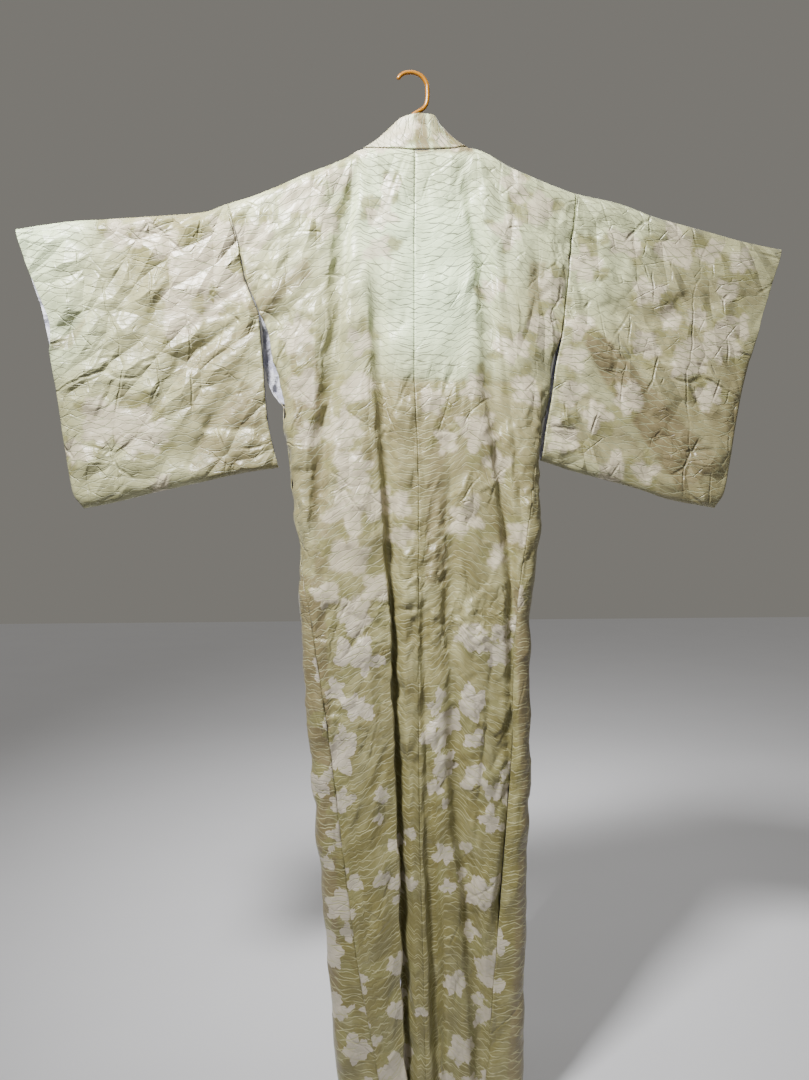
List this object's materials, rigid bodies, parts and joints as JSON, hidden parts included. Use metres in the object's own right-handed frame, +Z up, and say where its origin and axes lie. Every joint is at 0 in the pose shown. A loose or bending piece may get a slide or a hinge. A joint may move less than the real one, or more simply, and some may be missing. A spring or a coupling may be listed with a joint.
{
  "type": "kimono robe on a clothes hanger",
  "caption": "Lined kimono robe hung by its neck from a plastic clothes hanger, sleeves held out, back to the viewer, in a figured satin.",
  "frame": {"origin": "inner top of the hanger's hook, where a nail bears", "axes": "+X to the right seen from the robe's back, +Y from the back to the front of the robe, towards the wall, +Z up"},
  "size_m": [1.354, 0.063, 1.8224],
  "materials": {
    "figured_satin": "satin weave with a soft sheen, pale flowers on a mint to olive ground",
    "plain_lining": "plain pale matte lining",
    "amber_plastic": "glossy amber plastic"
  },
  "bodies": {
    "root": {"back_left_upper": "figured_satin", "back_left_middle": "figured_satin", "back_left_skirt": "figured_satin", "back_right_upper": "figured_satin", "back_right_middle": "figured_satin", "back_right_skirt": "figured_satin", "front_left_upper": "figured_satin", "front_left_middle": "figured_satin", "front_left_skirt": "figured_satin", "front_right_upper": "figured_satin", "front_right_middle": "figured_satin", "front_right_skirt": "figured_satin", "overlap_left": "figured_satin", "overlap_right": "figured_satin", "sleeve_left": "figured_satin", "sleeve_right": "figured_satin", "over_collar": "figured_satin", "collar_left": "figured_satin", "collar_right": "figured_satin", "lining_left": "plain_lining", "hanger": "amber_plastic"}
  },
  "joints": []
}
